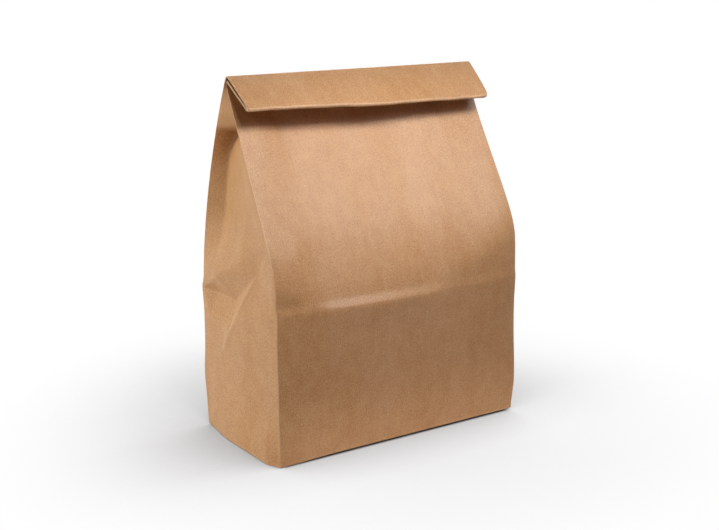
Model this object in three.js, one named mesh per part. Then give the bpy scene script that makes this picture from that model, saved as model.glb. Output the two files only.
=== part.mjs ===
// A block-bottom kraft paper bag that stands closed, with its mouth rolled over twice to the front.
// Millimetres, +Z up. The origin is the centre of the base, the front panel faces -Y, and X runs across it.
//
// The bag is one paper tube, so it is lofted as one: closed rings of points climb from the base to the ridge,
// pass over it, run down the rolled strip, turn round its front edge and end at the mouth inside the roll.
import * as THREE from "three";

// Driving dimensions
const PANEL_WIDTH = 220; // front and back panels
const GUSSET_WIDTH = 110; // side panels, and so the depth of the base
const RIDGE_HEIGHT = 277; // top of the closed bag
const ROLL_WIDTH = 34; // outer turn of the rolled mouth, from the ridge to its front edge
const MOUTH_TURN = 33; // inner turn of the roll, from its front edge to the cut mouth

// The folded paper: each edge of a flattened panel is the panel and half its gusset, lying together
const FOLDED_EDGE = 0.45; // two sheets and the air between them
const GUSSET_SLIT = 0.3; // gap between the front and back folded edges where the tube is flat
const BASE_EDGE = 1.2; // rounding where the panels turn under into the base

// The roll
const RIDGE_SETBACK = 11.7; // the ridge lies this far behind the middle of the base
const RIDGE_BEND = 1; // inner radius of the fold at the ridge
const ROLL_BEND = 0.3; // inner radius of the fold at the roll's front edge
const ROLL_DROOP = THREE.MathUtils.degToRad(40); // slope of the rolled strip below level
const OUTER_BOW = THREE.MathUtils.degToRad(4); // each end of the outer turn leans this much from its chord
const INNER_BOW = THREE.MathUtils.degToRad(4); // the same for the inner turn, bowed the other way

// The crease round the bag that is left by folding the base up flat, one depth of the base above it
const CREASE_RELIEF = 0.8; // how far the crease stands out
const CREASE_SPREAD = 7; // half the height of the bent strip

// The shoulder, where the front panel stops standing and leans back to the ridge
const LEFT_SHOULDER_RISE = 29; // above the crease, at the left edge
const RIGHT_SHOULDER_RISE = 40; // the same at the right edge
const SHOULDER_SOFTNESS = 6; // roundness of that bend
const NECK_DROP = 9; // below the top of the neck, where the lean ends and the layers lie flat
const NECK_SOFTNESS = 3; // roundness of that bend

// Swell of the panels
const FRONT_SWELL = 2; // the middle of the front panel, outwards
const BACK_SWELL = 3; // the back panel, outwards
const SWELL_RISE = 14; // height over which the swell starts above the base
const BACK_LEAN_DROP = 10; // below the crease, where the back panel starts to curve to the ridge
const BACK_LEAN_POWER = 1.85; // steepness of that curve near the ridge

// The gussets, which tuck in between the panels as they close
const KNEE_INSET = 8; // how far a side first steps in, above the shoulder
const KNEE_RISE = 6; // above the left shoulder, where that step starts
const KNEE_LENGTH = 45; // height that the step takes
const TUCK_DROP = 60; // below the neck, where the side turns in between the panels
const TUCK_OVERSHOOT = 13; // above the neck, where the tuck would end
const TUCK_ALLOWANCE = 5; // what a full tuck falls short of half the gusset
const VALLEY_SHARE = 0.3; // share of the half depth from a panel to the foot of its fold

// Two folds across each side, both sloping down to the back: a sharp one that stands out, and a broad hollow that
// runs from the front shoulder to the back end of the crease. Heights are above the crease.
const SHARP_FOLD = { relief: 1.6, spread: 8, frontInset: 35, frontRise: 21, backInset: 26, backRise: -45 };
const HOLLOW_FOLD = { relief: -2.2, spread: 11, frontInset: 15, frontRise: 54, backInset: 0, backRise: 0 };
const FOLD_FADE = 0.25; // share of a fold's length over which each end dies away

// How finely each stretch is divided
const FRONT_STEPS = 12;
const BACK_STEPS = 10;
const FOLD_STEPS = 3;
const SIDE_STEPS = 12;
const STANDING_ROWS = 13;
const CREASE_ROWS = 4;
const LEANING_ROWS = 26;
const BEND_ROWS = 6;
const TURN_ROWS = 6;

// Sizes that follow from them
const halfWidth = PANEL_WIDTH / 2;
const halfDepth = GUSSET_WIDTH / 2;
const flatThickness = 2 * FOLDED_EDGE + GUSSET_SLIT;
const ridgeRadius = RIDGE_BEND + flatThickness / 2;
const rollRadius = ROLL_BEND + flatThickness / 2;
const neckHeight = RIDGE_HEIGHT - ridgeRadius - flatThickness / 2;
const creaseHeight = GUSSET_WIDTH;
const kneeStart = creaseHeight + LEFT_SHOULDER_RISE + KNEE_RISE;
const fullTuck = halfDepth - TUCK_ALLOWANCE;

const { lerp, smoothstep } = THREE.MathUtils;

// Zero below 0 and equal to the distance above it, with a rounded corner between.
function softRamp(distance, softness) {
  return softness * Math.log1p(Math.exp(distance / softness));
}

// The bent strip along the crease, as an outward distance.
function creaseRelief(z) {
  return CREASE_RELIEF * Math.exp(-(((z - creaseHeight) / (CREASE_SPREAD / 2)) ** 2));
}

// A swell that starts at the base and has died away at the neck.
function swell(z) {
  return (1 - Math.exp(-z / SWELL_RISE)) * (1 - smoothstep(z, creaseHeight, neckHeight));
}

// Y of the front panel: upright to its shoulder, then leaning back until its layers lie flat in the neck.
function frontPanel(x, z) {
  const rise = lerp(LEFT_SHOULDER_RISE, RIGHT_SHOULDER_RISE, x / PANEL_WIDTH + 0.5);
  const lean = (height) =>
    softRamp(height - creaseHeight - rise, SHOULDER_SOFTNESS) -
    softRamp(height - neckHeight + NECK_DROP, NECK_SOFTNESS);
  const upright = -halfDepth;
  const closed = RIDGE_SETBACK - flatThickness / 2;
  const crown = FRONT_SWELL * Math.cos((Math.PI * x) / PANEL_WIDTH) * swell(z);
  return lerp(upright, closed, lean(z) / lean(neckHeight)) - crown - creaseRelief(z);
}

// Y of the back panel: swollen a little, then curving over to the ridge.
function backPanel(z) {
  const start = creaseHeight - BACK_LEAN_DROP;
  const climbed = Math.max(0, (z - start) / (neckHeight - start));
  const upright = halfDepth + BACK_SWELL * swell(z);
  const closed = RIDGE_SETBACK + flatThickness / 2;
  return lerp(upright, closed, climbed ** BACK_LEAN_POWER) + creaseRelief(z);
}

// How far a side has folded in between the panels: a shallow step at the knee, then the tuck below the ridge.
function gussetInset(z) {
  const knee = KNEE_INSET * smoothstep(z, kneeStart, kneeStart + KNEE_LENGTH);
  const tuck = smoothstep(z, neckHeight - TUCK_DROP, neckHeight + TUCK_OVERSHOOT);
  return knee + (fullTuck - KNEE_INSET) * tuck;
}

// The folds across a side, as an outward distance at a point of the side panel.
function sideRelief(y, z) {
  const point = new THREE.Vector2(y, z);
  return [SHARP_FOLD, HOLLOW_FOLD].reduce((sum, fold) => {
    const start = new THREE.Vector2(fold.frontInset - halfDepth, creaseHeight + fold.frontRise);
    const end = new THREE.Vector2(halfDepth - fold.backInset, creaseHeight + fold.backRise);
    const line = end.clone().sub(start);
    const away = point.clone().sub(start);
    const along = away.dot(line) / line.lengthSq();
    const distance = away.cross(line) / line.length();
    const ends = smoothstep(along, -FOLD_FADE, FOLD_FADE) * (1 - smoothstep(along, 1 - FOLD_FADE, 1 + FOLD_FADE));
    return sum + fold.relief * ends * Math.exp(-((distance / fold.spread) ** 2));
  }, 0);
}

// `count` points from a to b, without a.
function stretch(a, b, count) {
  return Array.from({ length: count }, (_, i) => a.clone().lerp(b, (i + 1) / count));
}

// One side of a ring, from the front panel's edge to the back panel's: the folded front edge, in to the foot of
// its fold, across the side panel, and out again to the folded back edge. `sign` is -1 on the left, and `relief`
// gives how far the side stands out at each Y.
function gusset(sign, front, back, inset, relief) {
  const outside = sign * halfWidth;
  const inside = sign * (halfWidth - inset);
  const foot = VALLEY_SHARE * ((back - front) / 2 - FOLDED_EDGE);
  const corners = [
    new THREE.Vector2(outside, front),
    new THREE.Vector2(outside, front + FOLDED_EDGE),
    new THREE.Vector2(inside, front + FOLDED_EDGE + foot),
    new THREE.Vector2(inside, back - FOLDED_EDGE - foot),
    new THREE.Vector2(outside, back - FOLDED_EDGE),
    new THREE.Vector2(outside, back),
  ];
  const steps = [1, FOLD_STEPS, SIDE_STEPS, FOLD_STEPS, 1];
  const points = steps.flatMap((count, i) => stretch(corners[i], corners[i + 1], count));
  return points.map((p) => new THREE.Vector2(p.x + sign * relief(p.y), p.y));
}

// A closed ring across the tube, anticlockwise, as (x, y): front panel, right side, back panel, left side.
function ring(front, back, inset, relief = () => 0) {
  const across = (i, steps) => lerp(-halfWidth, halfWidth, i / steps);
  const frontPoints = Array.from({ length: FRONT_STEPS + 1 }, (_, i) => {
    const x = across(i, FRONT_STEPS);
    return new THREE.Vector2(x, front(x));
  });
  const backPoints = Array.from({ length: BACK_STEPS - 1 }, (_, i) => {
    return new THREE.Vector2(-across(i + 1, BACK_STEPS), back);
  });
  const right = gusset(1, front(halfWidth), back, inset, relief);
  const left = gusset(-1, front(-halfWidth), back, inset, relief).reverse();
  return [...frontPoints, ...right, ...backPoints, ...left];
}

// Heights of the level rings, closer together at the crease and in the leaning stretch.
function levelHeights() {
  const spaced = (from, to, count) => Array.from({ length: count }, (_, i) => lerp(from, to, (i + 1) / count));
  const below = creaseHeight - CREASE_SPREAD;
  const above = creaseHeight + CREASE_SPREAD;
  return [
    ...spaced(0, BASE_EDGE, 1),
    ...spaced(BASE_EDGE, below, STANDING_ROWS),
    ...spaced(below, above, CREASE_ROWS),
    ...spaced(above, neckHeight, LEANING_ROWS),
  ];
}

// The base, drawn in from the panels by the rounding of its edge.
function baseRing() {
  const shrink = new THREE.Vector2(1 - BASE_EDGE / halfWidth, 1 - BASE_EDGE / halfDepth);
  return ring(() => -halfDepth, halfDepth, 0).map((p) => p.multiply(shrink));
}

// The middle line of the flattened tube from the neck to the mouth, in the Y-Z plane: round the ridge, down the
// outer turn, round the roll's front edge and back up the inner turn.
function rollCurves() {
  const heading = (angle) => new THREE.Vector2(Math.cos(angle), Math.sin(angle));
  const chord = Math.PI + ROLL_DROOP;
  const path = new THREE.Path().moveTo(RIDGE_SETBACK, neckHeight);
  const bend = (from, to, radius) => {
    const side = heading(from + Math.PI / 2).multiplyScalar(radius);
    const centre = path.currentPoint.clone().add(side);
    path.absarc(centre.x, centre.y, radius, from - Math.PI / 2, to - Math.PI / 2, false);
  };
  const turn = (direction, bow, length) => {
    const start = path.currentPoint.clone();
    const pull = heading(direction - bow).multiplyScalar(length / 2 / Math.cos(bow));
    const end = heading(direction).multiplyScalar(length).add(start);
    path.quadraticCurveTo(start.x + pull.x, start.y + pull.y, end.x, end.y);
  };
  bend(Math.PI / 2, chord - OUTER_BOW, ridgeRadius);
  turn(chord, OUTER_BOW, ROLL_WIDTH);
  bend(chord + OUTER_BOW, chord + Math.PI - INNER_BOW, rollRadius);
  turn(chord + Math.PI, INNER_BOW, MOUTH_TURN);
  return path.curves;
}

// Every ring of the loft in place, from the base to the mouth, with the flat outline of the first and the last.
function loftRings() {
  const base = baseRing();
  const rings = [base.map((p) => new THREE.Vector3(p.x, p.y, 0))];
  for (const z of levelHeights()) {
    const level = ring((x) => frontPanel(x, z), backPanel(z), gussetInset(z), (y) => sideRelief(y, z));
    rings.push(level.map((p) => new THREE.Vector3(p.x, p.y, z)));
  }
  const flat = ring(() => -flatThickness / 2, flatThickness / 2, gussetInset(neckHeight));
  rollCurves().forEach((curve, index) => {
    const rows = index % 2 === 0 ? BEND_ROWS : TURN_ROWS;
    for (let i = 1; i <= rows; i += 1) {
      const middle = curve.getPoint(i / rows);
      const along = curve.getTangent(i / rows);
      rings.push(flat.map((p) => new THREE.Vector3(p.x, middle.x + p.y * along.y, middle.y - p.y * along.x)));
    }
  });
  return { rings, base, mouth: flat };
}

// A closed skin over the rings, with the first and last filled in.
function skin({ rings, base, mouth }) {
  const size = base.length;
  const positions = rings.flat().flatMap((p) => [p.x, p.y, p.z]);
  const faces = [];
  for (let row = 0; row < rings.length - 1; row += 1) {
    for (let i = 0; i < size; i += 1) {
      const next = (i + 1) % size;
      const [a, b, c, d] = [row * size + i, row * size + next, (row + 1) * size + next, (row + 1) * size + i];
      faces.push(a, b, c, a, c, d);
    }
  }
  const last = (rings.length - 1) * size;
  for (const [a, b, c] of THREE.ShapeUtils.triangulateShape(base, [])) faces.push(a, c, b);
  for (const [a, b, c] of THREE.ShapeUtils.triangulateShape(mouth, [])) faces.push(last + a, last + b, last + c);
  const geometry = new THREE.BufferGeometry();
  geometry.setAttribute("position", new THREE.Float32BufferAttribute(positions, 3));
  geometry.setIndex(faces);
  geometry.computeVertexNormals();
  return geometry;
}

const kraftPaper = new THREE.MeshStandardMaterial({ color: 0xc69a70, roughness: 0.85, metalness: 0 });

const paperBag = new THREE.Mesh(skin(loftRings()), kraftPaper);
paperBag.name = "paper_bag";

const bag = new THREE.Group();
bag.add(paperBag);

export default bag;
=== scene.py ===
"""A plain brown paper bag that stands closed, with its mouth rolled over twice to the front.

The bag is one sheet of kraft paper folded into a tube, so it is made as one surface. Closed rings of points
run round the tube. They climb from the base to the neck, pass over the ridge, run down the rolled strip, turn
round its front edge and end at the cut mouth inside the roll. Lengths are in metres, X runs across the front
panel, and -Y is the front.
"""

import math
from typing import NamedTuple

import bpy
import numpy as np
from bpy.props import FloatProperty, FloatVectorProperty, PointerProperty
from mathutils import Matrix, Vector


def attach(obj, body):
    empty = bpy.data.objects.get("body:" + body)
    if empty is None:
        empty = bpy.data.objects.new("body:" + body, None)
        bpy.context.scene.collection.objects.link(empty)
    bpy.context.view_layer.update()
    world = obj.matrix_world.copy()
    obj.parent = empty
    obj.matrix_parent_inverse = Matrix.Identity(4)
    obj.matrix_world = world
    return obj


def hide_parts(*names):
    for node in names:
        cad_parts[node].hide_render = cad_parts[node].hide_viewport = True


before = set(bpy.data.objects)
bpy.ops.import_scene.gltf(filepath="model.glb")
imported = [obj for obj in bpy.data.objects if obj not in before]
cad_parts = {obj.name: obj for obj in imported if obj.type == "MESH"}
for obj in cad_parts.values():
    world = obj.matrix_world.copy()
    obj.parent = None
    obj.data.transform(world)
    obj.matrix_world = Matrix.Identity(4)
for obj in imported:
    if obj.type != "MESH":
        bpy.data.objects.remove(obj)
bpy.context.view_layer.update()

bl_info = {
    "name": "Rolled paper bag",
    "version": (1, 0, 0),
    "blender": (4, 5, 0),
    "location": "3D View > Sidebar > Paper bag",
    "description": "Makes a block-bottom kraft paper bag with a rolled top, and a plain studio to see it in",
    "category": "Add Mesh",
}

MM = 0.001
PIECE = "kraft_bag"
CAD_NODE = "paper_bag"
SHEET_MAP = "paper_sheet"
# attribute of the folds' paleness: rubbing, and a painted highlight along the upright folded edges and the
# roll's front edge
WEAR_AND_HIGHLIGHT = "worn_fold"

# Divisions of the surface

PANEL_STEPS = 72  # across the front and the back panel
LIP_STEPS = 6  # round each upright folded edge
SIDE_STEPS = 76  # across each side
EDGE_OFFSETS = (0, 0.3 * MM, 0.8 * MM, 1.8 * MM)  # distances of the closest columns from a folded edge
EDGE_ROWS = 5  # rings round the base's edge
BODY_ROWS = 205  # up to the neck
RIDGE_ROWS = 14  # over the ridge
OUTER_ROWS = 28  # down the outer turn of the roll
TURN_ROWS = 12  # round its front edge
INNER_ROWS = 20  # up the inner turn
SIDE_SPAN = 2 * LIP_STEPS + SIDE_STEPS
RING_STEPS = 2 * (PANEL_STEPS + SIDE_SPAN)
STANDING_ROWS = EDGE_ROWS + BODY_ROWS
FIRST_TURN_ROW = STANDING_ROWS + RIDGE_ROWS + OUTER_ROWS
ALL_ROWS = FIRST_TURN_ROW + TURN_ROWS + INNER_ROWS
HEIGHT_SAMPLES = 4000  # heights from which those of the rings are picked
CREASE_CLOSENESS = 2.2  # how much closer the rings are at the crease, and how far from it
CREASE_CLOSE_SPREAD = 12 * MM
NECK_CLOSENESS = 0.6  # how much closer they are near the neck, and between which heights they become so
NECK_CLOSE_RISE = (225 * MM, 265 * MM)

# The front panel

NECK_DROP = 4 * MM  # below the top of the neck, where the lean ends and the layers lie flat
NECK_SOFTNESS = 1 * MM  # rounding there
CREASE_BULGE = 5 * MM  # the middle of the front stands out this far at the crease
CLIMB_SOFTNESS = 0.02  # rounding where the climb to the crease ends, as a share of that climb
LEFT_EDGE_LEAN = 2.2 * MM  # the left edge of the front has leaned back this far at the crease
LEFT_HOLD = 48 * MM  # how far from its left edge the front panel still bends as that edge does
RIGHT_HOLD = 90 * MM  # the same from its right edge
RIGHT_SOFTENING = 4 * MM  # the bends are softer by this much at the right edge
FOOT_BULGE = 2.8 * MM  # the right end of the front stands out this far, most at the given height
FOOT_BULGE_HEIGHT = 28 * MM
FOOT_BULGE_SPREAD = 34 * MM

# The back panel

BACK_SWELL = 3 * MM  # the back stands out this far, nearly all of it from a little above the floor
SWELL_RISE = 14 * MM
BACK_LEAN_DROP = 10 * MM  # below the crease, where the back starts to lean
BACK_LEAN_POWER = 2.0
BACK_CORNER_BULGE = 2.4 * MM  # the left end of the back stands out this far, most at the given height
BACK_CORNER_HEIGHT = 43 * MM
BACK_CORNER_SPREAD = 15 * MM

# The crease round the bag, left by folding the base up flat, one depth of the base above the floor

CREASE_RELIEF = 2.4 * MM  # height of its crest
CREASE_RISE = 3 * MM  # the crest stands this far above one depth of the base
CREASE_ABOVE = 6.5 * MM  # heights of the bent strip above its crest and below it
CREASE_BELOW = 20 * MM
CREASE_ROUND = 0.12  # rounding of the crest, as a share of the strip on each side
CREASE_FADE = 0.55  # share of the crease that is lost towards the ends of the front
FADE_LEFT = (-0.8, -0.45)  # where it fades to the left and to the right, in halves of the front's width
FADE_RIGHT = (-0.15, 0.3)

# The sides, which tuck in between the panels as they close

VALLEY_SOFTNESS = 0.035  # rounding of the line where a side is deepest, as a share of the inset
TUCK_ROUNDING = 1.6 * MM  # the steps between the tucks' levels are averaged over this height up and down
TUCK_SAMPLES = 5  # heights of that mean
LEAST_DEPTH = 0.05 * MM  # of a side between its folded edges
EDGE_PINCH = (140 * MM, 262 * MM)  # heights between which the folded edges become as sharp as the roll's
LEFT_FOOT_BULGE = 4.6 * MM  # the left side stands out this far at the floor, and less up to the given height
LEFT_FOOT_HEIGHT = 42 * MM
LEFT_FOOT_FRONT = 14 * MM  # stretches at the front and back corners over which it comes to stand out
LEFT_FOOT_BACK = 40 * MM

# The roll

RIDGE_RADIUS = 2.1 * MM  # bend of the middle line over the ridge
TURN_RADIUS = 0.95 * MM  # bend of the middle line round the front edge
OUTER_THICKNESS = 1.0 * MM  # of the flattened tube in the two turns
INNER_THICKNESS = 1.6 * MM
OUTER_LIP = 0.2 * MM  # rounding of its folded edges in the two turns
INNER_LIP = 0.33 * MM
OUTER_BOW = math.radians(3)  # the outer turn starts flatter than its chord by this much, and ends steeper
INNER_SPREAD = math.radians(2.2)  # the inner turn leaves the outer one by this much towards the ridge
ROLL_SAG = 1.5 * MM  # the strip is wider by this much near its middle
ROLL_SAG_PLACE = 3 * MM
ROLL_SAG_SPREAD = 36 * MM
RIGHT_CORNER = 4 * MM  # rounding of the strip's two front corners
LEFT_CORNER = 1.2 * MM
NECK_HEADING = math.radians(108)  # of the flattened tube at the neck, where 90 degrees is straight up
RIDGE_RISE = 0.5 * MM  # the paper springs up this far from the pressed fold of the plain solid
RIDGE_SKEW = 3.6 * MM  # the left end of the ridge lies further back than the right one by this much
DROOP_SKEW = math.radians(10)  # the right end of the roll hangs more steeply than the left one by this much
RIDGE_TILT = 1.1 * MM  # the right end of the ridge is higher than its middle by this much, the left one lower
RIGHT_TAPER = 1 * MM  # the right end of the ridge stands in by this much, from the given height on
TAPER_START = 150 * MM

# The base

BASE_EDGE = 1.2 * MM  # rounding where the panels turn under
FRONT_LIFT = 1.0 * MM  # the front edge of the base stands this far off the floor, apart from its left corner
FRONT_LIFT_DEPTH = 12 * MM  # depth and height over which the lift dies away
FRONT_LIFT_HEIGHT = 20 * MM
PAPER_SHEET = 0.22 * MM  # one thickness of paper with its glue, as it shows in the block bottom
FLAP_SOFTNESS = 0.8 * MM  # half the width over which a flap's edge steps down
FLAP_CLEARANCE = 0.62  # of a flap's narrow edge from the bag's sides, in halves of the base's depth
FLAP_SLANT = 0.5  # slope of a flap's slanted ends
FLAP_OVERLAP = 12 * MM  # the last flap reaches this far past the middle
BASE_RIM = (2 * MM, 5 * MM)  # distances from the edge between which the base leaves the floor

# Calm borders, in which the waves and the folds of a side die away

EDGE_CALM = 10 * MM  # beside a folded edge
PANEL_CALM_FOOT = 30 * MM  # above the floor, on the front and the back
SIDE_CALM_FOOT = 6 * MM
FRONT_CALM_TOP = (225 * MM, 262 * MM)  # heights between which they die away towards the neck
BACK_CALM_TOP = (215 * MM, 255 * MM)
SIDE_CALM_TOP = (190 * MM, 235 * MM)

# Wear and painted highlight, from 0 for fresh paper to 1 for paper that is rubbed pale or painted as lit

LOW_EDGE_WEAR_AND_HIGHLIGHT = 0.15  # of the folded edges below the given heights, above which they are worn most and carry the most painted highlight
EDGE_WEAR_AND_HIGHLIGHT_RISE = (130 * MM, 160 * MM)
SHARP_WEAR = 0.25  # along the sharp fold of the left side
SHARP_WEAR_SPREAD = 0.2  # how far down that fold the wear reaches, as a share of its height
RIM_WEAR = 0.3
TURN_WEAR_AND_HIGHLIGHT = 0.8  # along the front edge of the roll, worn and with a painted highlight


class Bend(NamedTuple):
    """A bend of the front panel: its height above the crease at the left edge, in the middle and at the
    right edge, and its softness, in millimetres, and how much more the panel leans above it, as a
    slope."""
    left: float
    middle: float
    right: float
    slope: float
    softness: float


class Dent(NamedTuple):
    """A soft swelling of a panel, or a dent where its relief is below 0. All its values are in
    millimetres."""
    across: float
    up: float
    width: float
    height: float
    relief: float


class Tuck(NamedTuple):
    """How a side is folded in at one level: the level above the neck and the inset, in millimetres, and the
    share of the side's depth that lies behind its deepest line."""
    level: float
    inset: float
    behind: float


class Fold(NamedTuple):
    """A fold along a line of a panel, from one point to another as (across, up): its height, its
    rounding, how far it spreads to each side of the line, in millimetres, and the share of the line over
    which its ends fade."""
    start: tuple
    end: tuple
    relief: float
    rounding: float
    spread: tuple
    fade: float


class Waves(NamedTuple):
    """Soft unevenness of handled paper: its height and its shortest and longest wave, in millimetres, how
    many times longer the waves are up the sheet than across it, the seed of its draws, and the count of
    waves."""
    height: float
    shortest: float
    longest: float
    stretch: float
    seed: int
    count: int = 24


FRONT_WAVES = Waves(0.9, 30, 80, 2.0, 4)
BACK_WAVES = Waves(0.5, 26, 80, 1.8, 9)
LEFT_WAVES = Waves(0.3, 18, 60, 1.5, 17)
RIGHT_WAVES = Waves(0.4, 18, 60, 1.5, 23)
ROLL_WAVES = Waves(0.3, 12, 30, 1, 31, 8)
FRONT_BENDS = (
    Bend(19, 2, 42, 0.28, 1.5),
    Bend(38, 21, 46, 0.12, 5),
    Bend(45, 56, 50, 0.1, 6),
    Bend(162, 132, 136, -0.2, 4),
)
FRONT_DENTS = (
    Dent(-101, 119, 13, 8, -1.3),
    Dent(-92, 150, 9, 11, 0.9),
    Dent(-76, 148, 9, 11, -0.7),
    Dent(-14, 185, 17, 45, -0.8),
)
SIDE_TUCKS = (
    Tuck(-144, 0, 0.16),
    Tuck(-124, 6, 0.16),
    Tuck(-104, 10, 0.16),
    Tuck(-70, 10, 0.14),
    Tuck(-58, 11, 0.08),
    Tuck(-50, 13.5, 0.05),
    Tuck(-44, 17.5, 0.04),
    Tuck(-39, 21.5, 0.04),
    Tuck(-36, 16, 0.9),
    Tuck(-26, 7, 0.9),
    Tuck(-6, 4, 0.9),
    Tuck(0, 48, 0.5),
)
SHARP_FOLD = Fold((-22, 136), (28, 66), 0.8, 0.4, (7, 1.6), 0.1)
LEFT_FOLDS = (
    SHARP_FOLD,
    Fold((-54, 113), (-8, 103), 0.6, 1, (6, 6), 0.15),
    Fold((-50, 3), (-34, 24), 1.3, 0.8, (5, 5), 0.3),
    Fold((14, 44), (-48, 26), 0.4, 1, (7, 7), 0.2),
    Fold((48, 8), (26, 30), 0.9, 0.8, (6, 6), 0.3),
)
RIGHT_FOLDS = (
    Fold((-40, 158), (20, 104), -2.0, 5, (12, 12), 0.3),
    Fold((-14, 128), (34, 52), 1.2, 1, (9, 9), 0.25),
)

# Corners of the left side's flat facets, as across, up and out in millimetres, and the facets between them

LEFT_CORNERS = {
    "front foot": (-55, 0, 0),
    "front low": (-54, 60, 0),
    "front crease": (-53, 112, 0),
    "front shoulder": (-39, 162, 0),
    "front top": (-20, 209, 0),
    "back foot": (55, 0, 0),
    "back low": (57.5, 70, 0),
    "back crease": (58.5, 112, 0),
    "back top": (43, 199, 0),
    "bulge front": (-17, 151, 1.2),
    "bulge": (8, 138, 2.4),
    "bulge back": (33, 125, 2.0),
    "hollow": (15.6, 110, -6.4),
    "hollow back": (44, 111, -5.0),
    "rise": (24, 90, 0.2),
    "rise back": (46, 94, 0.3),
    "fold top": (-22, 136, -2.2),
    "fold": (0, 105, 1.5),
    "fold low": (14, 86, 1.5),
    "fold end": (28, 66, 0.5),
}
LEFT_FACETS = (
    ("back crease", "bulge back", "hollow back"),
    ("bulge back", "hollow", "hollow back"),
    ("bulge back", "bulge", "hollow"),
    ("bulge", "fold top", "hollow"),
    ("bulge", "bulge front", "fold top"),
    ("bulge front", "front shoulder", "fold top"),
    ("hollow", "fold top", "fold"),
    ("hollow", "fold", "fold low"),
    ("hollow", "fold low", "rise"),
    ("hollow back", "hollow", "rise"),
    ("hollow back", "rise", "rise back"),
    ("back crease", "hollow back", "rise back"),
    ("back crease", "rise back", "back low"),
    ("rise back", "fold end", "back low"),
    ("rise back", "rise", "fold end"),
    ("rise", "fold low", "fold end"),
    ("front shoulder", "front crease", "fold top"),
    ("fold top", "front crease", "fold"),
    ("fold", "front crease", "front low"),
    ("fold", "front low", "fold low"),
    ("fold low", "front low", "fold end"),
    ("fold end", "front low", "front foot"),
    ("fold end", "front foot", "back foot"),
    ("fold end", "back foot", "back low"),
    ("front shoulder", "bulge front", "front top"),
    ("bulge front", "bulge", "front top"),
    ("bulge", "back top", "front top"),
    ("bulge", "bulge back", "back top"),
    ("bulge back", "back crease", "back top"),
)
FACET_ROUNDING = 0.9 * MM  # distance to each side over which the edges of the facets are rounded


def hex_to_linear(code):
    """Linear red, green and blue of an sRGB hex colour."""
    srgb = np.array([int(code[i:i + 2], 16) for i in (0, 2, 4)]) / 255
    linear = np.where(srgb <= 0.04045, srgb / 12.92, ((srgb + 0.055) / 1.055) ** 2.4)
    return tuple(linear.tolist())


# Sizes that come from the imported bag

RIDGE_BAND = 1 * MM  # points this close to the top belong to the ridge
FLOOR_BAND = 0.1 * MM  # points this close to the floor belong to the base


def frame_sizes():
    """Panel width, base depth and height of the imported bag: the spread of its points at the ridge and at
    the floor, with the rounding of the base's edge added."""
    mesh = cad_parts[CAD_NODE].data
    points = np.empty(3 * len(mesh.vertices))
    mesh.vertices.foreach_get("co", points)
    points = points.reshape(-1, 3)
    level = points[:, 2]
    width = np.ptp(points[level > level.max() - RIDGE_BAND, 0])
    depth = np.ptp(points[level < FLOOR_BAND, 1]) + 2 * BASE_EDGE
    return width, depth, level.max()


FRAME_WIDTH, FRAME_DEPTH, FRAME_HEIGHT = frame_sizes()


# Curves that the shapes are made of

def mix(a, b, share):
    """The value that lies this share of the way from a to b."""
    return a + (b - a) * share


def smooth_step(value, low, high):
    """0 below low, 1 above high, and an S curve between."""
    t = np.clip((value - low) / (high - low), 0.0, 1.0)
    return t * t * (3.0 - 2.0 * t)


def soft_ramp(distance, softness):
    """Zero below 0 and equal to the distance above it, with a rounded corner between."""
    return softness * np.logaddexp(0.0, distance / softness)


def bell(distance, spread):
    """1 at no distance, falling away as a Gaussian."""
    return np.exp(-((distance / spread) ** 2))


def tent(distance, rounding):
    """1 at no distance and 0 beyond 1, with straight slopes, and with its ridge and feet rounded."""
    away = np.sqrt(distance ** 2 + rounding ** 2)
    return soft_ramp(1 - away, rounding)


def dents(shapes, across, up):
    """Sum of soft swellings and dents: each is a bell across times a bell up."""
    total = 0.0
    for d in shapes:
        total = total + d.relief * bell(across / MM - d.across, d.width) * bell(up / MM - d.up, d.height)
    return total * MM


def fold_height(fold, across, up):
    """Share of a fold's height: 1 on its line, dying away as an exponential on both sides, more quickly
    on one of them if its two spreads differ, and to nothing at the two ends."""
    run = np.subtract(fold.end, fold.start)
    length = np.hypot(*run)
    from_x = across / MM - fold.start[0]
    from_z = up / MM - fold.start[1]
    along = (from_x * run[0] + from_z * run[1]) / length ** 2
    away = (from_x * run[1] - from_z * run[0]) / length
    begun = smooth_step(along, -fold.fade, fold.fade)
    ended = smooth_step(along, 1 - fold.fade, 1 + fold.fade)
    spread = mix(*fold.spread, smooth_step(away, -fold.rounding, fold.rounding))
    rounded = np.sqrt(away ** 2 + fold.rounding ** 2) - fold.rounding
    return begun * (1 - ended) * np.exp(-rounded / spread)


def folds(shapes, across, up):
    """Sum of the folds of a panel."""
    return sum(fold.relief * MM * fold_height(fold, across, up) for fold in shapes)


def facets(corners, shapes, across, up):
    """Height of a surface of flat triangles: at a point of one, the mix of the heights of its three
    corners by the shares of its area that lie opposite them. Elsewhere it is 0."""
    total = np.zeros(np.broadcast(across, up).shape)
    for names in shapes:
        first, second, third = (np.array(corners[name]) for name in names)
        run = second - first
        turn = third - first
        area = run[0] * turn[1] - run[1] * turn[0]
        from_x = across / MM - first[0]
        from_z = up / MM - first[1]
        by_second = (from_x * turn[1] - from_z * turn[0]) / area
        by_third = (run[0] * from_z - run[1] * from_x) / area
        inside = (by_second >= 0) & (by_third >= 0) & (by_second + by_third <= 1)
        total = np.where(inside, first[2] + by_second * run[2] + by_third * turn[2], total)
    return total * MM


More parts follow.
